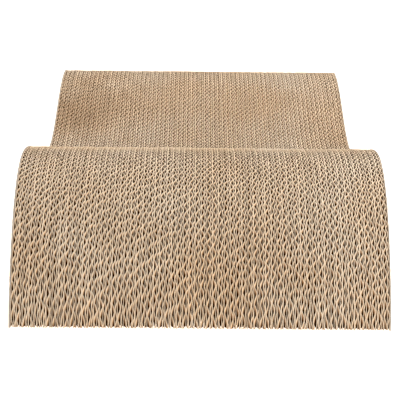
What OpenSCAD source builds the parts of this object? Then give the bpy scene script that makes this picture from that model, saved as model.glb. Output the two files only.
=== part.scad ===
// Wave-shaped cat scratcher, glued up from upright die-cut boards of double-wall corrugated cardboard.
// X runs across the stack of boards, Y along the lounger and Z up. The origin is the middle of the base.

/* [Wave] */
// Distance between the crests of the two humps
crest_spacing = 384; // [250:2:500]
// Run of each end, from its crest out to its toe
toe_run = 138; // [100:1:180]
// Height of the two humps
hump_height = 148; // [110:1:200]
// Height of the saddle between the humps
saddle_height = 90; // [40:1:100]

/* [Boards] */
// Boards glued together in each bundle
boards_per_bundle = 4; // [2:1:6]
// Thickness of a board's narrow-fluted ply, with the papers on both of its faces
narrow_ply = 3.0; // [2:0.1:4]
// Open gap of a board's wide-fluted ply, between the papers beside it
wide_gap = 3.2; // [2.4:0.1:5]

/* [Fluting] */
// Pitch of the wide fluting, from crest to crest
flute_pitch = 8.2; // [6:0.1:12]
// How many real flutes one drawn fold stands for
flutes_per_fold = 3; // [2:1:6]
// Thickness of the fluting paper
fluting_paper = 0.5; // [0.3:0.05:0.8]
// Glue line between a crest of the fluting and the paper beside it
glue_line = 0.04; // [0.02:0.01:0.1]
// How far the cut foot of the fluting stands back from the floor
fluting_lift = 0.3; // [0.1:0.1:1]

/* [Side sheets] */
// Thickness of the plain sheet glued on the left
left_sheet = 2.0; // [1:0.1:5]
// Thickness of the plain sheet glued on the right
right_sheet = 1.2; // [0.8:0.1:5]

/* [Hidden] */
// Bundles in the stack
bundle_count = 16;
// Power of the fall beside the crest. The higher it is, the longer the crest stays flat
crest_power = 1.9;
// Power of the fall at the toe. The lower it is, the more upright the toe meets the floor
toe_power = 0.85;
// Facets along the wave from one crest to the other
saddle_steps = 16;
// Facets along the wave from a crest to its toe
toe_steps = 8;
// How far a cutting shape runs past what it cuts
overrun = 5;
// Drift of the flutes from one board to the next, as a share of a drawn fold
flute_drift_share = 0.18;

board_pitch = wide_gap + narrow_ply;
board_count = bundle_count * boards_per_bundle;
block_width = left_sheet + board_count * board_pitch + right_sheet;
stack_start = left_sheet - block_width / 2;
crest_y = crest_spacing / 2;
toe_y = crest_y + toe_run;
bundles = [0 : bundle_count - 1];

function two_digits(number) = number < 10 ? str("0", number) : str(number);
function board_bundle_name(bundle) = str("board_bundle_", two_digits(bundle + 1));
function fluting_bundle_name(bundle) = str("fluting_bundle_", two_digits(bundle + 1));

// Outline of the wave
// Between the crests the top is one full cosine wave. Outside them it rounds off and falls ever steeper to the toe.
function saddle_top(y) =
    (hump_height + saddle_height - (hump_height - saddle_height) * cos(180 * y / crest_y)) / 2;
function toe_share(y) = min(1, (abs(y) - crest_y) / toe_run);
function toe_fall(y) = hump_height * pow(1 - pow(toe_share(y), crest_power), toe_power);
function top_height(y) = abs(y) < crest_y ? saddle_top(y) : toe_fall(y);

// The facets meet on the crests, so the humps have their full height
outline_stops = concat(
    [for (step = [0 : toe_steps - 1]) toe_run * step / toe_steps - toe_y],
    [for (step = [0 : saddle_steps - 1]) crest_spacing * step / saddle_steps - crest_y],
    [for (step = [0 : toe_steps]) crest_y + toe_run * step / toe_steps]
);

module wave_outline() {
    polygon([for (y = outline_stops) [y, top_height(y)]]);
}

// A sheet of the wave outline standing upright, from X zero towards +X
module upright_sheet(thickness) {
    rotate([90, 0, 90])
        linear_extrude(height = thickness)
            wave_outline();
}

// Boards
function gap_start(board) = stack_start + board * board_pitch;
function ply_start(board) = gap_start(board) + wide_gap;

module board_bundle(bundle) {
    first = bundle * boards_per_bundle;
    color([0.77, 0.66, 0.52])
        for (board = [first : first + boards_per_bundle - 1])
            translate([ply_start(board), 0, 0])
                upright_sheet(narrow_ply);
}

// Fluting
// Each fold is one out-and-back of the paper. A longer wave gets more folds, and the outline trims those at its ends.
fold_pitch = flute_pitch * flutes_per_fold;
fold_count = ceil(2 * toe_y / fold_pitch);
fold_reach = wide_gap / 2 - glue_line - fluting_paper / 2;

function fold_point(leg, drift, side) =
    [(leg % 2 == 0 ? -1 : 1) * fold_reach + side * fluting_paper / 2,
     (leg / 2 + drift - 1) * fold_pitch - toe_y];

module folded_paper(drift) {
    last_leg = 2 * fold_count + 2;
    polygon(concat(
        [for (leg = [0 : last_leg]) fold_point(leg, drift, -1)],
        [for (leg = [last_leg : -1 : 0]) fold_point(leg, drift, 1)]
    ));
}

module fluting(drift) {
    intersection() {
        translate([0, 0, fluting_lift])
            linear_extrude(height = hump_height + overrun)
                folded_paper(drift);
        translate([-wide_gap / 2 - overrun, 0, 0])
            upright_sheet(wide_gap + 2 * overrun);
    }
}

module fluting_bundle(bundle) {
    first = bundle * boards_per_bundle;
    color([0.67, 0.54, 0.40])
        for (board = [first : first + boards_per_bundle - 1])
            translate([gap_start(board) + wide_gap / 2, 0, 0])
                fluting((board * flute_drift_share) % 1);
}

// Side sheets
module left_side_sheet() {
    color([0.80, 0.70, 0.57])
        translate([-block_width / 2, 0, 0])
            upright_sheet(left_sheet);
}

module right_side_sheet() {
    color([0.80, 0.70, 0.57])
        translate([block_width / 2 - right_sheet, 0, 0])
            upright_sheet(right_sheet);
}

left_side_sheet();
right_side_sheet();
for (bundle = bundles)
    board_bundle(bundle);
for (bundle = bundles)
    fluting_bundle(bundle);
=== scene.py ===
# %% [markdown]
# # A wave-shaped cat scratcher of corrugated cardboard
#
# The real object is a stack of 64 upright boards, cut to one wave outline and glued face to face. A cat
# scratches the cut edges, so the whole top is an open honeycomb of flutes. What makes it look real is not
# its outer form, which is simple, but the thousands of thin-walled cells that open at the cut. A bumpy
# texture on one solid block would be quick, but it shows no depth from the side. So each paper is modelled
# here as a sheet of its own, folded as a corrugator folds it.
#
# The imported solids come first. They set where each board stands, and nothing below moves them.

# %% The frame
import math

import bpy
import numpy as np
from mathutils import Matrix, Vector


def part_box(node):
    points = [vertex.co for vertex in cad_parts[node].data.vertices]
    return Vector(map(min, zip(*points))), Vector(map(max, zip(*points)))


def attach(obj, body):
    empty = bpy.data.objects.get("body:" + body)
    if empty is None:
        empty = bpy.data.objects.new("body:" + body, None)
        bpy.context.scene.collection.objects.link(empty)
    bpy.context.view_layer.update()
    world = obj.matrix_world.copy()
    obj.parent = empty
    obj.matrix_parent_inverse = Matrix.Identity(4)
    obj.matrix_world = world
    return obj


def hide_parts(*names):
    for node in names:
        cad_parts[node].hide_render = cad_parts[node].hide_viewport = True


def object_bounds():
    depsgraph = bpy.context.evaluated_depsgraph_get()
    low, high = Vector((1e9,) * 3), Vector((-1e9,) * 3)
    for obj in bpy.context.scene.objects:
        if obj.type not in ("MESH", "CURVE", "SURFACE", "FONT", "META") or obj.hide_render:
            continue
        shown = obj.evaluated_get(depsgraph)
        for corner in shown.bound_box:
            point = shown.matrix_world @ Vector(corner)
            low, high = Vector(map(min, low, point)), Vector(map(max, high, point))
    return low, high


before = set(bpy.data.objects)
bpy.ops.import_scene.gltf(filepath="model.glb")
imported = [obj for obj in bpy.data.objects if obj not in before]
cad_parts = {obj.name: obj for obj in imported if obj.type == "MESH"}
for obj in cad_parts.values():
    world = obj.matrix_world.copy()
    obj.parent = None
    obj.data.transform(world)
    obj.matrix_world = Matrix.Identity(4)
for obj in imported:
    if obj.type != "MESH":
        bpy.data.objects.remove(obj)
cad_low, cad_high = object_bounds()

print("solids in the frame:", len(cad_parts))
print("box of the solids, in metres:", tuple(cad_low), tuple(cad_high))

# %% [markdown]
# ## The wave
#
# The top is one full cosine wave between the two crests. Outside them it rounds off and falls ever steeper,
# and meets the floor almost upright. It could be read off the solids, but these are cut in short straight
# facets. The same formulas give a smooth cut, and only four numbers have to be repeated here.

# %% Outline of the wave
MM = 0.001
SADDLE_HEIGHT = 90 * MM
TOE_RUN = 138 * MM
CREST_POWER = 1.9
TOE_POWER = 0.85

hump_height = cad_high.z
toe_y = cad_high.y
crest_y = toe_y - TOE_RUN


def wave_top(y):
    """Height of the top surface over the point y of the base."""
    y = np.abs(y)
    mean_height = (hump_height + SADDLE_HEIGHT) / 2
    half_rise = (hump_height - SADDLE_HEIGHT) / 2
    saddle = mean_height - half_rise * np.cos(math.pi * y / crest_y)
    toe_share = np.clip((y - crest_y) / TOE_RUN, 0, 1)
    toe = hump_height * (1 - toe_share ** CREST_POWER) ** TOE_POWER
    return np.where(y < crest_y, saddle, toe)


print("crests at y =", round(crest_y, 4), "m, saddle at", round(float(wave_top(0.0)), 4), "m")

# %% [markdown]
# ## The camera
#
# The view is the photograph's: a long lens, a little over a metre away, that looks down on the front hump.
# A camera could be set by eye, but then nothing lines up well enough to compare. These numbers come from
# fitting a pinhole camera to the outline, the crest lines, the base edge and the flutes' spacing.

# %% Camera
CAMERA_PLACE = (-0.0085, -1.2634, 0.4995)
CAMERA_DOWN = math.radians(20.814)
CAMERA_RIGHT = math.radians(0.430)
CAMERA_ROLL = math.radians(0.685)
LENS_LENGTH = 90.43
SENSOR_WIDTH = 36.0


def add_camera():
    """The photograph's camera, set as the scene's own."""
    data = bpy.data.cameras.new("photo_camera")
    data.lens = LENS_LENGTH
    data.sensor_width = SENSOR_WIDTH
    camera = bpy.data.objects.new("photo_camera", data)
    bpy.context.scene.collection.objects.link(camera)
    turn = Matrix.Rotation(-CAMERA_RIGHT, 4, "Z")
    tilt = Matrix.Rotation(math.pi / 2 - CAMERA_DOWN, 4, "X")
    roll = Matrix.Rotation(CAMERA_ROLL, 4, "Z")
    camera.matrix_world = Matrix.Translation(CAMERA_PLACE) @ turn @ tilt @ roll
    bpy.context.scene.camera = camera
    return camera


camera = add_camera()
print("camera at", tuple(round(v, 3) for v in camera.location))

# %% [markdown]
# ## Kraft paper
#
# All of it is brown kraft paper, yet no two papers look alike: each roll has its own tone, clouds and fibres
# run through the sheet, the torn edge at the cut is lighter than the faces, and use has browned it in
# places. Image textures could show this, but they need unwrapping. Node groups don't, and several materials
# can share them, each with its own values. A few small helpers keep the groups short.

# %% Helpers for node groups
def feed(tree, socket, value):
    """Gives an input socket its value: a number, a colour, a vector or another node's output."""
    if isinstance(value, bpy.types.NodeSocket):
        tree.links.new(value, socket)
    elif socket.type == "RGBA":
        socket.default_value = (*value, 1)
    else:
        socket.default_value = value


def new_group(name, inputs, outputs):
    """An empty shader group with its inner ends. Its sockets are names with their types."""
    group = bpy.data.node_groups.new(name, "ShaderNodeTree")
    for direction, sockets in (("INPUT", inputs), ("OUTPUT", outputs)):
        for socket_name, kind in sockets.items():
            group.interface.new_socket(name=socket_name, in_out=direction, socket_type="NodeSocket" + kind)
    return group, group.nodes.new("NodeGroupInput").outputs, group.nodes.new("NodeGroupOutput")


def put_out(group, outlet, **results):
    """Links a group's results to its output sockets."""
    for name, result in results.items():
        group.links.new(result, outlet.inputs[name])


def add_group(tree, group, **values):
    """The outputs of a group that is placed in a material, with its own values."""
    node = tree.nodes.new("ShaderNodeGroup")
    node.node_tree = group
    for name, value in values.items():
        feed(tree, node.inputs[name], value)
    return node.outputs


print("node groups so far:", len(bpy.data.node_groups))

# %% [markdown]
# A group needs a dozen nodes, and each node takes several lines of plain Python. These helpers make a node,
# feed it and give its result, so a group reads like a list of sums. The nodes could be appended from a saved
# file instead, but then nobody sees how they work.

# %% Helpers for places, attributes and noise
# A noise texture's values lie around this one
NOISE_MIDDLE = 0.5


def object_place(tree):
    """The place in the object's own space, in metres."""
    return tree.nodes.new("ShaderNodeTexCoord").outputs["Object"]


def coordinate(tree, vector, axis):
    """One coordinate of a vector."""
    node = tree.nodes.new("ShaderNodeSeparateXYZ")
    feed(tree, node.inputs["Vector"], vector)
    return node.outputs[axis]


def stretched(tree, vector, scale):
    """The vector, scaled along each axis."""
    node = tree.nodes.new("ShaderNodeMapping")
    feed(tree, node.inputs["Vector"], vector)
    feed(tree, node.inputs["Scale"], scale)
    return node.outputs["Vector"]


def attribute_value(tree, name):
    """The number that the mesh carries at each corner under this name."""
    node = tree.nodes.new("ShaderNodeAttribute")
    node.attribute_name = name
    return node.outputs["Fac"]


def noise_value(tree, vector, scale, detail, roughness=0.5):
    """A noise texture's value."""
    node = tree.nodes.new("ShaderNodeTexNoise")
    feed(tree, node.inputs["Vector"], vector)
    feed(tree, node.inputs["Scale"], scale)
    feed(tree, node.inputs["Detail"], detail)
    feed(tree, node.inputs["Roughness"], roughness)
    return node.outputs["Fac"]


print("noise lies around", NOISE_MIDDLE)


# %% Helpers for sums and colours
def math_node(tree, operation, *values, clamp=False):
    """A math node's result. Each value is a number or a socket."""
    node = tree.nodes.new("ShaderNodeMath")
    node.operation = operation
    node.use_clamp = clamp
    for socket, value in zip(node.inputs, values):
        feed(tree, socket, value)
    return node.outputs["Value"]


def nearness(tree, distance, reach, clamp=False):
    """One where the distance is zero, falling to zero at the reach."""
    return math_node(tree, "SUBTRACT", 1.0, math_node(tree, "DIVIDE", distance, reach), clamp=clamp)


def mix_colour(tree, blend, share, first, second):
    """A colour mix node's result. The share and the colours are values or sockets."""
    node = tree.nodes.new("ShaderNodeMix")
    node.data_type = "RGBA"
    node.blend_type = blend
    sockets = {socket.identifier: socket for socket in (*node.inputs, *node.outputs)}
    feed(tree, sockets["Factor_Float"], share)
    feed(tree, sockets["A_Color"], first)
    feed(tree, sockets["B_Color"], second)
    return sockets["Result_Color"]


print("helpers that make a node:", math_node.__name__, nearness.__name__, mix_colour.__name__)

# %% [markdown]
# Kraft pulp is cloudy, and its long fibres show as fine streaks. A wood or wave texture would give streaks
# too, but in even rows. Two noises look more like pulp. The fibres' noise is drawn out upwards, as a
# die-cut board's paper lies, and also sets the roughness and the bump.

# %% Node group: fibres of kraft paper
CLOUD_SCALE = 55.0
CLOUD_START = 0.35
FIBRE_SCALE = 420.0
FIBRE_START = 0.4
FIBRE_STRETCH = (1.0, 1.0, 0.25)
PAPER_ROUGHNESS = 0.8
FIBRE_ROUGHNESS = 0.2


def build_fibre_group():
    """Clouds and fibres in the pulp: the colour of a paper, its roughness, and a height for its bump."""
    group, inside, out = new_group(
        "kraft_fibres",
        {"Pulp": "Color", "Fibre": "Color", "Clouds": "Float", "Fibres": "Float"},
        {"Colour": "Color", "Roughness": "Float", "Height": "Float"})
    place = object_place(group)
    cloud = noise_value(group, place, CLOUD_SCALE, detail=3.0)
    drawn_out = stretched(group, place, FIBRE_STRETCH)
    fibre = noise_value(group, drawn_out, FIBRE_SCALE, detail=4.0, roughness=0.65)
    thick_cloud = math_node(group, "SUBTRACT", cloud, CLOUD_START, clamp=True)
    thick_fibre = math_node(group, "SUBTRACT", fibre, FIBRE_START, clamp=True)
    cloud_share = math_node(group, "MULTIPLY", thick_cloud, inside["Clouds"])
    fibre_share = math_node(group, "MULTIPLY", thick_fibre, inside["Fibres"])
    share = math_node(group, "ADD", cloud_share, fibre_share, clamp=True)
    colour = mix_colour(group, "MIX", share, inside["Pulp"], inside["Fibre"])
    roughness = math_node(group, "MULTIPLY_ADD", fibre, FIBRE_ROUGHNESS, PAPER_ROUGHNESS)
    put_out(group, out, Colour=colour, Roughness=roughness, Height=fibre)
    return group


fibre_group = build_fibre_group()
print("group:", fibre_group.name, "clouds of about", round(1 / CLOUD_SCALE, 3), "m")

# %% [markdown]
# Papers from different rolls stand side by side, and each is a shade lighter or darker than the next. A
# material per paper would need hundreds of them. A number on each paper's corners does the same with one
# material.

# %% Node group: tone of each sheet
TONE_ATTRIBUTE = "sheet_tone"


def build_tone_group():
    """Makes each sheet a little lighter or darker, by the tone that its mesh carries."""
    group, inside, out = new_group(
        "sheet_tone", {"Colour": "Color", "Strength": "Float"}, {"Colour": "Color"})
    tone = attribute_value(group, TONE_ATTRIBUTE)
    brightness = math_node(group, "MULTIPLY_ADD", tone, inside["Strength"], 1.0)
    grey = group.nodes.new("ShaderNodeCombineColor")
    for channel in ("Red", "Green", "Blue"):
        feed(group, grey.inputs[channel], brightness)
    toned = mix_colour(group, "MULTIPLY", 1.0, inside["Colour"], grey.outputs["Color"])
    put_out(group, out, Colour=toned)
    return group


tone_group = build_tone_group()
print("group:", tone_group.name)

# %% [markdown]
# Where the cat lies, behind the saddle, the top is browner than elsewhere, and one patch at the left of the
# rear hump is scuffed and grey. Both could be painted. Here distances in the object's own space place them,
# and a noise breaks their outlines up.

# %% Node group: browned and scuffed areas
# Places and reaches are in metres
BROWN_SCALE = 11.0
BROWN_CLOUDS = 2.2
BROWN_MIDDLE = 0.10
BROWN_REACH = 0.22
BROWN_LEAST = 0.4
SCUFF_PLACE = (-0.175, 0.110, 0.118)
SCUFF_REACH = 0.080
SCUFF_CLOUDS = 2.0


def build_browning_group():
    """Browns a paper in soft clouds, most behind the saddle, and dirties a patch on the rear hump."""
    group, inside, out = new_group(
        "browning", {"Colour": "Color", "Brown": "Color", "Scuff": "Color"}, {"Colour": "Color"})
    place = object_place(group)
    clouds = math_node(group, "SUBTRACT", noise_value(group, place, BROWN_SCALE, detail=3.0), NOISE_MIDDLE)
    beyond_middle = math_node(group, "SUBTRACT", coordinate(group, place, "Y"), BROWN_MIDDLE)
    used = nearness(group, math_node(group, "ABSOLUTE", beyond_middle), BROWN_REACH)
    used = math_node(group, "MAXIMUM", used, BROWN_LEAST)
    brown_share = math_node(group, "MULTIPLY_ADD", clouds, BROWN_CLOUDS, used, clamp=True)
    browned = mix_colour(group, "MULTIPLY", brown_share, inside["Colour"], inside["Brown"])
    distance = group.nodes.new("ShaderNodeVectorMath")
    distance.operation = "DISTANCE"
    feed(group, distance.inputs[0], place)
    feed(group, distance.inputs[1], SCUFF_PLACE)
    scuffed = nearness(group, distance.outputs["Value"], SCUFF_REACH)
    scuff_share = math_node(group, "MULTIPLY_ADD", clouds, SCUFF_CLOUDS, scuffed, clamp=True)
    worn = mix_colour(group, "MULTIPLY", scuff_share, browned, inside["Scuff"])
    put_out(group, out, Colour=worn)
    return group


browning_group = build_browning_group()
print("group:", browning_group.name, "scuffed around", SCUFF_PLACE)

# %% [markdown]
# The die tears as much as it cuts, so the fibres stand open at the edge, and open fibres are pale. A second
# material on the cut faces would end in a hard line. Here each corner of a paper carries its depth below the
# cut instead, and a material turns to the torn colour within a ragged reach of it.

# %% Node group: torn edge at the cut
DEPTH_ATTRIBUTE = "cut_depth"
FRAY_SCALE = 700.0


def build_cut_group():
    """Lightens a paper close to the cut, where its fibres are torn open. Depths are in metres."""
    group, inside, out = new_group(
        "torn_edge", {"Colour": "Color", "Torn": "Color", "Reach": "Float"}, {"Colour": "Color"})
    fray = noise_value(group, object_place(group), FRAY_SCALE, detail=2.0)
    ragged = math_node(group, "DIVIDE", fray, NOISE_MIDDLE)
    reach = math_node(group, "MULTIPLY", inside["Reach"], ragged)
    torn_share = nearness(group, attribute_value(group, DEPTH_ATTRIBUTE), reach, clamp=True)
    put_out(group, out, Colour=mix_colour(group, "MIX", torn_share, inside["Colour"], inside["Torn"]))
    return group


cut_group = build_cut_group()
print("group:", cut_group.name)

# %% [markdown]
# Light that goes down a cell bounces from paper to paper and gets browner and weaker each time. The lamps
# alone leave the cells too pale, because a picture of this size blurs each cell with its bright edges. So
# the papers themselves darken, over the way that light has to go from the cut to a point. That way is long
# where the top is level and the cells go straight down, and short at the toes, where the cells lie open to
# the front.

# %% Node group: shade deep in a cell
WAY_ATTRIBUTE = "light_way"
SHADE_POWER = 1.3


def build_depth_group():
    """Warms a paper's colour and turns it into the deep colour, over a way of the light in metres."""
    group, inside, out = new_group(
        "cell_shade",
        {"Colour": "Color", "Warm": "Color", "Deep": "Color", "Way": "Float"},
        {"Colour": "Color"})
    way_share = math_node(group, "DIVIDE", attribute_value(group, WAY_ATTRIBUTE), inside["Way"], clamp=True)
    shade = math_node(group, "POWER", way_share, SHADE_POWER)
    warmed = mix_colour(group, "MULTIPLY", shade, inside["Colour"], inside["Warm"])
    put_out(group, out, Colour=mix_colour(group, "MIX", shade, warmed, inside["Deep"]))
    return group


depth_group = build_depth_group()
print("group:", depth_group.name)

# %% [markdown]
# The outer faces are the largest plain areas. On real board they are never plain: the wide flutes behind
# show through as ribs, glue and damp leave blotches, and the floor scratches them lengthways. The ribs are
# in the mesh too, further below. This group paints shade along them and adds what is too fine for a mesh.

# %% Node group: washboard of a flat face
WIDE_PITCH = 8.25 * MM
RIB_WANDER = 2.5
# Strength of the painted shade along the ribs
RIB_PAINTED_SHADE = 0.12
BLOTCH_SCALE = 7.0
BLOTCH_CONTRAST = 3.0
BLOTCH_LEVEL = 0.4
SCRATCH_SCALE = 60.0
SCRATCH_STRETCH = (1.0, 0.15, 1.0)
SCRATCH_START = 0.62
SCRATCH_CONTRAST = 6.0


def build_washboard_group():
    """Ribs of the flutes behind a flat paper, with painted shade, and blotches and scratches on it."""
    group, inside, out = new_group(
        "washboard",
        {"Colour": "Color", "Height": "Float", "Ribs": "Float", "Blotch": "Color", "Scratch": "Color"},
        {"Colour": "Color", "Height": "Float"})
    place = object_place(group)
    blotch = noise_value(group, place, BLOTCH_SCALE, detail=6.0, roughness=0.6)
    turns = math_node(group, "MULTIPLY", coordinate(group, place, "Y"), 2 * math.pi / WIDE_PITCH)
    rib = math_node(group, "SINE", math_node(group, "MULTIPLY_ADD", blotch, RIB_WANDER, turns))
    # Painted shade: the blotch colour darkens the paper a little more on one half of each rib than the other
    shade_and_blotch_level = math_node(group, "MULTIPLY_ADD", rib, RIB_PAINTED_SHADE, BLOTCH_LEVEL)
    uneven = math_node(group, "SUBTRACT", blotch, NOISE_MIDDLE)
    blotch_and_shade_share = math_node(group, "MULTIPLY_ADD", uneven, BLOTCH_CONTRAST, shade_and_blotch_level, clamp=True)
    blotched_and_shaded = mix_colour(group, "MULTIPLY", blotch_and_shade_share, inside["Colour"], inside["Blotch"])
    lengthways = stretched(group, place, SCRATCH_STRETCH)
    scratch = noise_value(group, lengthways, SCRATCH_SCALE, detail=5.0, roughness=0.7)
    scratched = math_node(group, "SUBTRACT", scratch, SCRATCH_START, clamp=True)
    scratch_share = math_node(group, "MULTIPLY", scratched, SCRATCH_CONTRAST, clamp=True)
    colour = mix_colour(group, "MIX", scratch_share, blotched_and_shaded, inside["Scratch"])
    height = math_node(group, "MULTIPLY_ADD", rib, inside["Ribs"], inside["Height"])
    put_out(group, out, Colour=colour, Height=height)
    return group


washboard_group = build_washboard_group()
print("group:", washboard_group.name, "ribs every", WIDE_PITCH, "m")

# %% [markdown]
# Each material is a chain of these groups that ends in the plain shader. One material for everything would
# be simpler, but a liner is darker than a fluting, and the outer faces have ribs and no cells. So the papers
# inside the stack share one chain, each with its own values, and the outer faces have another.

# %% Parts of a paper material
FIBRE_BUMP = 0.15
WASHBOARD_BUMP = 0.6
BUMP_DISTANCE = 0.2 * MM


def matt_material(name):
    """A material with no sheen. Gives the material, its node tree and its shader."""
    material = bpy.data.materials.new(name)
    material.use_nodes = True
    shader = material.node_tree.nodes["Principled BSDF"]
    shader.inputs["Specular IOR Level"].default_value = 0.0
    return material, material.node_tree, shader


def add_bump(tree, shader, height, strength):
    """Bump on the shader, from a height."""
    bump = tree.nodes.new("ShaderNodeBump")
    bump.inputs["Strength"].default_value = strength
    bump.inputs["Distance"].default_value = BUMP_DISTANCE
    tree.links.new(height, bump.inputs["Height"])
    tree.links.new(bump.outputs["Normal"], shader.inputs["Normal"])


print("bump of the inner papers:", FIBRE_BUMP, "and of the outer faces:", WASHBOARD_BUMP)

# %% [markdown]
# Inside the stack the liners are darker paper and the flutings paler. The chain follows the real paper: pulp
# first, then the tone of its roll, the shade of its cell, the torn edge, and last the wear by the cat. One
# big group for all of it would be shorter, but then the outer faces couldn't share its parts.

# %% Kraft paper in the stack
TORN = (0.580, 0.482, 0.367)
TORN_REACH = 0.5 * MM
WARM = (0.92, 0.52, 0.22)
DEEP = (0.05, 0.018, 0.005)
BROWN = (0.95, 0.85, 0.745)
SCUFF = (0.80, 0.76, 0.72)


def kraft_paper(name, pulp, fibre, tone_strength, way):
    """A paper in the stack: fibres, a tone for each sheet, shade in the cells, a torn edge, then wear."""
    material, tree, shader = matt_material(name)
    fibres = add_group(tree, fibre_group, Pulp=pulp, Fibre=fibre, Clouds=0.6, Fibres=0.6)
    toned = add_group(tree, tone_group, Colour=fibres["Colour"], Strength=tone_strength)
    shaded = add_group(tree, depth_group, Colour=toned["Colour"], Warm=WARM, Deep=DEEP, Way=way)
    cut = add_group(tree, cut_group, Colour=shaded["Colour"], Torn=TORN, Reach=TORN_REACH)
    worn = add_group(tree, browning_group, Colour=cut["Colour"], Brown=BROWN, Scuff=SCUFF)
    tree.links.new(worn["Colour"], shader.inputs["Base Color"])
    tree.links.new(fibres["Roughness"], shader.inputs["Roughness"])
    add_bump(tree, shader, fibres["Height"], FIBRE_BUMP)
    return material


liner_paper = kraft_paper(
    "liner_paper", pulp=(0.43, 0.282, 0.137), fibre=(0.32, 0.190, 0.085), tone_strength=0.1, way=2.1 * MM)
fluting_paper = kraft_paper(
    "fluting_paper", pulp=(0.79, 0.615, 0.415), fibre=(0.63, 0.460, 0.285), tone_strength=0.14, way=3.4 * MM)
print("papers in the stack:", liner_paper.name, fluting_paper.name)

# %% [markdown]
# The outer faces have no cells, so they need no shade down a cell. A plain colour would look like plastic.
# Their pulp is cloudier than inside, the ribs with their painted shade, blotches and scratches come on top,
# and the torn edge along the wave is wider and greyer.

# %% Kraft paper of the outer faces
SIDE_PULP = (0.37, 0.270, 0.175)
SIDE_FIBRE = (0.25, 0.170, 0.100)
SIDE_TORN = (0.30, 0.270, 0.235)
SIDE_TORN_REACH = 1.2 * MM
# Colour of the blotches, also used for the painted shade along the ribs
BLOTCH_AND_SHADE = (0.80, 0.74, 0.66)
SCRATCH = (0.44, 0.35, 0.26)


def side_kraft(name):
    """The plain outer face: fibres, ribs with painted shade, blotches, scratches and a torn edge."""
    material, tree, shader = matt_material(name)
    fibres = add_group(tree, fibre_group, Pulp=SIDE_PULP, Fibre=SIDE_FIBRE, Clouds=1.2, Fibres=0.9)
    ribbed = add_group(tree, washboard_group, Colour=fibres["Colour"], Height=fibres["Height"], Ribs=0.6,
                       Blotch=BLOTCH_AND_SHADE, Scratch=SCRATCH)
    cut = add_group(tree, cut_group, Colour=ribbed["Colour"], Torn=SIDE_TORN, Reach=SIDE_TORN_REACH)
    tree.links.new(cut["Colour"], shader.inputs["Base Color"])
    tree.links.new(fibres["Roughness"], shader.inputs["Roughness"])
    add_bump(tree, shader, ribbed["Height"], WASHBOARD_BUMP)
    return material


side_paper = side_kraft("side_paper")
print("paper of the outer faces:", side_paper.name)

# %% [markdown]
# ## One paper
#
# Seen from above, every paper of the stack is a line of even thickness: nearly straight for a liner, folded
# for a fluting. It stands upright from its foot to the wave. A plane with a solidify modifier and a boolean
# cut would need a boolean for each of 320 papers. Here each point of the line gets four corners instead, two
# at the foot and two on the wave, so the cut comes out of the height formula and costs nothing. The cut end
# is thicker than the foot, because the fibres fray there, and most on the rear hump, which looks smoother
# in the photograph.
#
# Each corner knows its depth below the cut, measured square to the cut, and the way of the light down to it.

# %% A paper from its centre line
CORNERS_PER_POINT = 4
FRAY_UNEVENNESS = 0.25
REAR_FRAY = 0.18
LEAST_HEIGHT = 0.3 * MM
SLOPE_REACH = 0.5 * MM
LIGHT_SLANT = 0.08
WIDE_GAP = 3.4 * MM


def paper_sheet(line_x, line_y, thickness, frayed, top_of, foot, rng, cut_wear, gap):
    """Corners, faces, depths below the cut and ways of the light, for one upright paper on a centre line.

    The gap is the room between the papers beside it: a narrow one lets less light in.
    """
    points = len(line_x)
    step_x = np.gradient(line_x)
    step_y = np.gradient(line_y)
    length = np.hypot(step_x, step_y)
    frayed = frayed * (1 + REAR_FRAY * np.clip(line_y / crest_y, 0, 1))
    slope = np.abs(top_of(line_y + SLOPE_REACH) - top_of(line_y - SLOPE_REACH)) / (2 * SLOPE_REACH)

    def beside_line(side, width):
        x = line_x + side * step_y / length * width / 2
        y = np.clip(line_y - side * step_x / length * width / 2, -toe_y, toe_y)
        return x, y

    corners = []
    depths = []
    ways = []
    for side, end in ((1, "foot"), (1, "cut"), (-1, "cut"), (-1, "foot")):
        if end == "cut":
            x, y = beside_line(side, frayed * (1 + FRAY_UNEVENNESS * rng.uniform(-1, 1, points)))
            z = np.maximum(top_of(y) - cut_wear * rng.random(points), foot + LEAST_HEIGHT)
            below = np.zeros(points)
        else:
            x, y = beside_line(side, thickness)
            z = np.full(points, foot)
            below = np.maximum(top_of(y) - foot, LEAST_HEIGHT)
        corners.append(np.stack([x, y, z], axis=1))
        depths.append(below / np.hypot(1, slope))
        ways.append(below / (LIGHT_SLANT + slope) * WIDE_GAP / gap)
    corners = np.stack(corners, axis=1).reshape(-1, 3)
    depths = np.stack(depths, axis=1).reshape(-1)
    ways = np.stack(ways, axis=1).reshape(-1)

    first = np.arange(points - 1)[:, None] * CORNERS_PER_POINT
    second = first + CORNERS_PER_POINT
    walls = [np.concatenate([first + a, first + b, second + b, second + a], axis=1)
             for a, b in ((0, 1), (1, 2), (2, 3), (3, 0))]
    last = (points - 1) * CORNERS_PER_POINT
    caps = np.array([[3, 2, 1, 0], [last, last + 1, last + 2, last + 3]])
    return corners, np.concatenate(walls + [caps]), depths, ways


print("corners at each point of a paper's line:", CORNERS_PER_POINT)

# %% [markdown]
# Each paper could be an object of its own, but 320 objects are slow to handle. A piece is a group of papers
# in one mesh. Its corners also carry three numbers for the materials: how deep a corner lies below the cut,
# the way of the light to it, and the tone of its paper.

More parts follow.
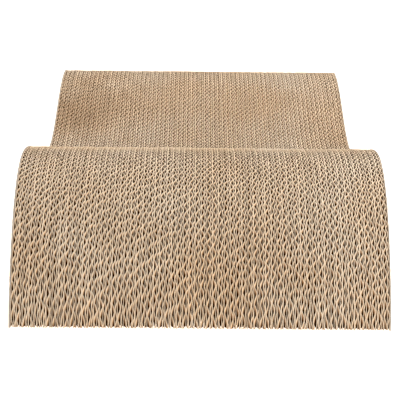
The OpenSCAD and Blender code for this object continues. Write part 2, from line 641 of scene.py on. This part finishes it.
# %% A piece from its papers
def paper_piece(name, papers, material, node):
    """One object of several papers. Each paper is (corners, faces, depths, ways, tone)."""
    corners, faces, depths, ways, tones = zip(*papers)
    counts = [len(sheet_corners) for sheet_corners in corners]
    starts = np.cumsum([0] + counts[:-1])
    all_corners = np.concatenate(corners)
    all_faces = np.concatenate([sheet_faces + start for sheet_faces, start in zip(faces, starts)])
    mesh = bpy.data.meshes.new(name)
    mesh.from_pydata(all_corners.tolist(), [], all_faces.tolist())
    corner_values = {
        DEPTH_ATTRIBUTE: np.concatenate(depths),
        WAY_ATTRIBUTE: np.concatenate(ways),
        TONE_ATTRIBUTE: np.repeat(tones, counts),
    }
    for attribute_name, values in corner_values.items():
        attribute = mesh.attributes.new(attribute_name, "FLOAT", "POINT")
        attribute.data.foreach_set("value", values.astype(np.float32))
    mesh.materials.append(material)
    piece = bpy.data.objects.new(name, mesh)
    bpy.context.scene.collection.objects.link(piece)
    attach(piece, "root")
    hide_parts(node)
    return piece


print("each corner carries:", DEPTH_ATTRIBUTE, WAY_ATTRIBUTE, TONE_ATTRIBUTE)

# %% [markdown]
# ## Boards
#
# A double-wall board has three liners with a wide and a narrow fluting between them. Each board's place
# could be read off its own solid. The stack fills the space between the two side sheets evenly, so their
# inner faces are enough.

# %% Places of the boards
BUNDLES = 16
BOARDS_PER_BUNDLE = 4

stack_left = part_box("left_side_sheet")[1].x
stack_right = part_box("right_side_sheet")[0].x
board_count = BUNDLES * BOARDS_PER_BUNDLE
board_pitch = (stack_right - stack_left) / board_count
print(board_count, "boards of", round(board_pitch / MM, 3), "mm")

# %% [markdown]
# The boards were cut one after another from a long web of cardboard. The web's flutes don't fit a whole
# number of times in a board, so the flutes shift by the same share of a flute from each board to the next,
# and the honeycomb shows slanting rows. Random shifts would be easier, but they make no rows. Where a batch
# was turned end for end the rows slant the other way.

# %% Shift of the flutes from board to board
# Boards in each batch, and the shift from each board to the next
BATCHES = ((9, 0.22), (21, -0.26), (6, 0.31), (3, -0.28), (25, 0.30))
NARROW_DRIFT = 1.6
NARROW_START = 0.4


def flute_shifts(start, drift_scale):
    """For each board, where its flutes start, as a share of a flute."""
    shifts = []
    shift = start
    for boards, drift in BATCHES:
        for _ in range(boards):
            shift += drift_scale * drift
            shifts.append(shift % 1.0)
    return shifts


wide_shifts = flute_shifts(start=0.0, drift_scale=1.0)
narrow_shifts = flute_shifts(NARROW_START, NARROW_DRIFT)
print("boards with a shift:", len(wide_shifts))

# %% [markdown]
# A fluting is nearly a sine wave. An array modifier would repeat one flute exactly, but real ones are
# uneven: each is a little longer or shorter than the next, some are pressed flat by the glueing rollers, and
# some lean. All of that is drawn from one seeded generator, so the object is the same on every run.

# %% Centre line of a fluting
POINTS_PER_FLUTE = 8
SPARE_FLUTES = 4
FLUTE_UNEVENNESS = 0.05
CRUSH = 0.4
CRUSH_POWER = 3
LEAN = 0.4 * MM
TOE_MARGIN = 0.2 * MM


def fluting_line(centre_x, reach, pitch, shift, rng):
    """Centre line of a fluting from toe to toe, seen from above."""
    flutes = int(2 * toe_y / pitch) + SPARE_FLUTES
    lengths = pitch * (1 + FLUTE_UNEVENNESS * rng.standard_normal(flutes))
    starts = np.concatenate([[0], np.cumsum(lengths)[:-1]]) - toe_y - (1 + shift) * pitch
    crush = 1 - CRUSH * rng.random(flutes) ** CRUSH_POWER
    lean = LEAN * rng.standard_normal(flutes)
    phase = np.arange(POINTS_PER_FLUTE) / POINTS_PER_FLUTE
    wave = np.sin(2 * math.pi * phase)
    y = (starts[:, None] + lengths[:, None] * phase + lean[:, None] * wave ** 2).ravel()
    x = (centre_x + reach * crush[:, None] * wave).ravel()
    inside = np.abs(y) < toe_y - TOE_MARGIN
    return x[inside], y[inside]


print("wide flutes from toe to toe:", round(2 * toe_y / WIDE_PITCH))

# %% [markdown]
# A liner is flat, but never dead straight, because the flutes press on it unevenly. A random shift at each
# point would crumple it. A few random knots with straight stretches between them give a slow waver instead.

# %% Centre line of a liner
LINER_STEP = 4.0 * MM
STEPS_PER_KNOT = 3
LINER_WAVER = 0.12 * MM

liner_points = int(2 * toe_y / LINER_STEP) + 1


def liner_line(centre_x, rng):
    """Centre line of a liner from toe to toe, seen from above, with a slight waver."""
    y = np.linspace(-toe_y, toe_y, liner_points)
    knots = rng.standard_normal(liner_points // STEPS_PER_KNOT + 2)
    along = np.linspace(0, len(knots) - 1, liner_points)
    x = centre_x + LINER_WAVER * np.interp(along, np.arange(len(knots)), knots)
    return x, y


print("points along a liner:", liner_points)

# %% [markdown]
# The die cuts each board a hair lower or further along than its neighbours, which breaks up the top's
# surface. A displacement of the finished mesh would bend the papers' faces too, so each board has its own
# cut height before its mesh is made. The wear only takes material away, so no paper reaches out of the
# solids' box.

# %% One board
FLOOR_LEVEL = 0.0
LINER = 0.3 * MM
FLUTING = 0.3 * MM
FRAYED_LINER = 0.48 * MM
FRAYED_FLUTING = 0.52 * MM
NARROW_PITCH = 7.17 * MM
GLUE_LINE = 0.03 * MM
CUT_WEAR = 0.3 * MM
BOARD_SINK = 0.5 * MM
BOARD_SLIDE = 0.8 * MM
FLUTING_LIFT = 0.3 * MM


def board_papers(board, rng):
    """The three liners, the narrow fluting and the wide fluting of one board."""
    left = stack_left + board * board_pitch
    right = left + board_pitch
    middle = left + WIDE_GAP + LINER / 2
    sink = BOARD_SINK * rng.random()
    slide = BOARD_SLIDE * rng.uniform(-1, 1)

    def top_of(y):
        return np.maximum(wave_top(y - slide) - sink, LEAST_HEIGHT)

    def liner(centre):
        x, y = liner_line(centre, rng)
        sheet = paper_sheet(x, y, LINER, FRAYED_LINER, top_of, FLOOR_LEVEL, rng, CUT_WEAR, WIDE_GAP)
        return (*sheet, rng.uniform(-1, 1))

    def fluting(low, high, pitch, shift):
        reach = (high - low) / 2 - GLUE_LINE - FLUTING / 2
        x, y = fluting_line((low + high) / 2, reach, pitch, shift, rng)
        sheet = paper_sheet(x, y, FLUTING, FRAYED_FLUTING, top_of, FLUTING_LIFT, rng, CUT_WEAR, high - low)
        return (*sheet, rng.uniform(-1, 1))

    liners = [liner(centre) for centre in (left + LINER / 2, middle, right - LINER / 2)]
    wide = fluting(left + LINER, middle - LINER / 2, WIDE_PITCH, wide_shifts[board])
    narrow = fluting(middle + LINER / 2, right - LINER, NARROW_PITCH, narrow_shifts[board])
    return liners, narrow, wide


print("a board sinks up to", BOARD_SINK, "m and slides up to", BOARD_SLIDE, "m")

# %% [markdown]
# The solids come in bundles of four boards, and each piece hides the solid that it stands for. So the
# papers are grouped in the same way: the liners and the narrow flutings of a bundle stand for its boards,
# and the wide flutings for its fluting. One piece per bundle would do as well, but then liners and flutings
# couldn't be told apart. One generator runs through all boards in order, so no two of them are alike.

# %% All boards, in bundles
BOARD_SEED = 64


def build_bundles():
    """The pieces of each bundle of boards, numbered as its solids are."""
    rng = np.random.default_rng(BOARD_SEED)
    pieces = []
    for bundle in range(BUNDLES):
        first = bundle * BOARDS_PER_BUNDLE
        boards = [board_papers(board, rng) for board in range(first, first + BOARDS_PER_BUNDLE)]
        liners, narrow, wide = zip(*boards)
        all_liners = [paper for board_liners in liners for paper in board_liners]
        number = f"{bundle + 1:02d}"
        board_node = "board_bundle_" + number
        fluting_node = "fluting_bundle_" + number
        pieces.append(paper_piece("liners_" + number, all_liners, liner_paper, board_node))
        pieces.append(paper_piece("narrow_fluting_" + number, narrow, fluting_paper, board_node))
        pieces.append(paper_piece("wide_fluting_" + number, wide, fluting_paper, fluting_node))
    return pieces


bundles = build_bundles()
print("pieces:", len(bundles), "faces:", sum(len(piece.data.polygons) for piece in bundles))

# %% [markdown]
# ## Side sheets
#
# A plain sheet closes each side of the stack. Bump alone could show its ribs, but its edge would stay dead
# straight. The paper has sunk a little between the flutes that it is glued to, so its centre line is a very
# shallow wave with the flutes' pitch. The sheet is thinner by as much, to stay in its box.

# %% Side sheets
SIDE_SEED = 2
RIB_DEPTH = 0.06 * MM
POINTS_PER_RIB = 6
SIDE_WEAR = 0.1 * MM


def build_side_sheet(name, rng):
    """A plain sheet on one side of the stack, with the ribs of a washboard."""
    low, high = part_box(name)
    points = round(2 * toe_y / WIDE_PITCH * POINTS_PER_RIB)
    y = np.linspace(-toe_y, toe_y, points)
    x = (low.x + high.x) / 2 + RIB_DEPTH * np.sin(2 * math.pi * y / WIDE_PITCH)
    width = high.x - low.x - 2 * RIB_DEPTH
    frayed = width / ((1 + FRAY_UNEVENNESS) * (1 + REAR_FRAY))
    sheet = paper_sheet(x, y, width, frayed, wave_top, FLOOR_LEVEL, rng, SIDE_WEAR, WIDE_GAP)
    return paper_piece(name + "_skin", [(*sheet, 0.0)], side_paper, name)


side_rng = np.random.default_rng(SIDE_SEED)
side_sheets = [build_side_sheet(name, side_rng) for name in ("left_side_sheet", "right_side_sheet")]
print("side sheets:", [sheet.name for sheet in side_sheets])

# %% [markdown]
# ## The studio
#
# The floor is plain, and it glows, so it stays white where the object shades it. A white sky would be
# simpler than lamps, but it fills every cell evenly, and the honeycomb goes flat. So the sky is faint and
# warm, as light that the paper itself throws back, and lamps do the rest.

# %% Floor and sky
FLOOR_SIZE = 60.0
FLOOR_COLOUR = (0.3, 0.3, 0.3)
FLOOR_ROUGHNESS = 0.9
FLOOR_TINT = (1.0, 0.87, 0.74)
FLOOR_GLOW = 1.38
SKY_COLOUR = (0.08, 0.056, 0.0336)
HORIZON_COLOUR = (1.0, 1.0, 1.0)
HORIZON_FALL = 6.0
HORIZON_POWER = 2.0


def build_floor():
    """A plain glowing floor under the object."""
    material = bpy.data.materials.new("floor_paint")
    material.use_nodes = True
    paint = material.node_tree.nodes["Principled BSDF"]
    paint.inputs["Base Color"].default_value = (*FLOOR_COLOUR, 1)
    paint.inputs["Roughness"].default_value = FLOOR_ROUGHNESS
    paint.inputs["Emission Color"].default_value = (*FLOOR_TINT, 1)
    paint.inputs["Emission Strength"].default_value = FLOOR_GLOW
    half = FLOOR_SIZE / 2
    corners = [(x, y, FLOOR_LEVEL) for x, y in ((-half, -half), (half, -half), (half, half), (-half, half))]
    mesh = bpy.data.meshes.new("floor")
    mesh.from_pydata(corners, [], [(0, 1, 2, 3)])
    mesh.materials.append(material)
    floor = bpy.data.objects.new("floor", mesh)
    bpy.context.scene.collection.objects.link(floor)
    return floor


def add_world():
    """A faint warm sky that turns white close to the horizon, so a low view is pale behind too."""
    world = bpy.data.worlds.new("studio")
    world.use_nodes = True
    tree = world.node_tree
    upward = coordinate(tree, tree.nodes.new("ShaderNodeTexCoord").outputs["Generated"], "Z")
    low_down = math_node(tree, "MULTIPLY_ADD", upward, -HORIZON_FALL, 1.0, clamp=True)
    horizon_share = math_node(tree, "POWER", low_down, HORIZON_POWER)
    colour = mix_colour(tree, "MIX", horizon_share, SKY_COLOUR, HORIZON_COLOUR)
    feed(tree, tree.nodes["Background"].inputs["Color"], colour)
    bpy.context.scene.world = world
    return world


floor = build_floor()
world = add_world()
bpy.context.scene.view_settings.view_transform = "Standard"
print("floor:", floor.name, "sky:", world.name)

# %% [markdown]
# The photograph's main light comes from the right and in front: of the two flanks of each flute one is as
# bright as the cut, and the other dark. A sun lamp would do that too, but with hard shadows, so the light is
# a large soft box. A second one, high behind and a little warmer, brightens the crests and the rear hump.

# %% Soft boxes
LAMP_DISTANCE = 2.4
LAMP_SIZE = 1.5
KEY_BEARING = math.radians(48)
KEY_HEIGHT = math.radians(50)
KEY_POWER = 88.0
KEY_COLOUR = (1.0, 1.0, 1.0)
TOP_BEARING = math.radians(165)
TOP_HEIGHT = math.radians(66)
TOP_POWER = 54.0
TOP_COLOUR = (1.0, 0.96, 0.92)


def add_soft_box(name, bearing, height, power, colour):
    """A square soft box turned to the object. Bearing goes from the front to the right, height upwards."""
    data = bpy.data.lights.new(name, "AREA")
    data.size = LAMP_SIZE
    data.energy = power
    data.color = colour
    lamp = bpy.data.objects.new(name, data)
    level = LAMP_DISTANCE * math.cos(height)
    lamp.location = (level * math.sin(bearing), -level * math.cos(bearing), LAMP_DISTANCE * math.sin(height))
    lamp.rotation_euler = (math.pi / 2 - height, 0, bearing)
    bpy.context.scene.collection.objects.link(lamp)
    return lamp


lamps = [
    add_soft_box("key_soft_box", KEY_BEARING, KEY_HEIGHT, KEY_POWER, KEY_COLOUR),
    add_soft_box("top_soft_box", TOP_BEARING, TOP_HEIGHT, TOP_POWER, TOP_COLOUR),
]
print("lamps:", [(lamp.name, lamp.data.energy) for lamp in lamps])
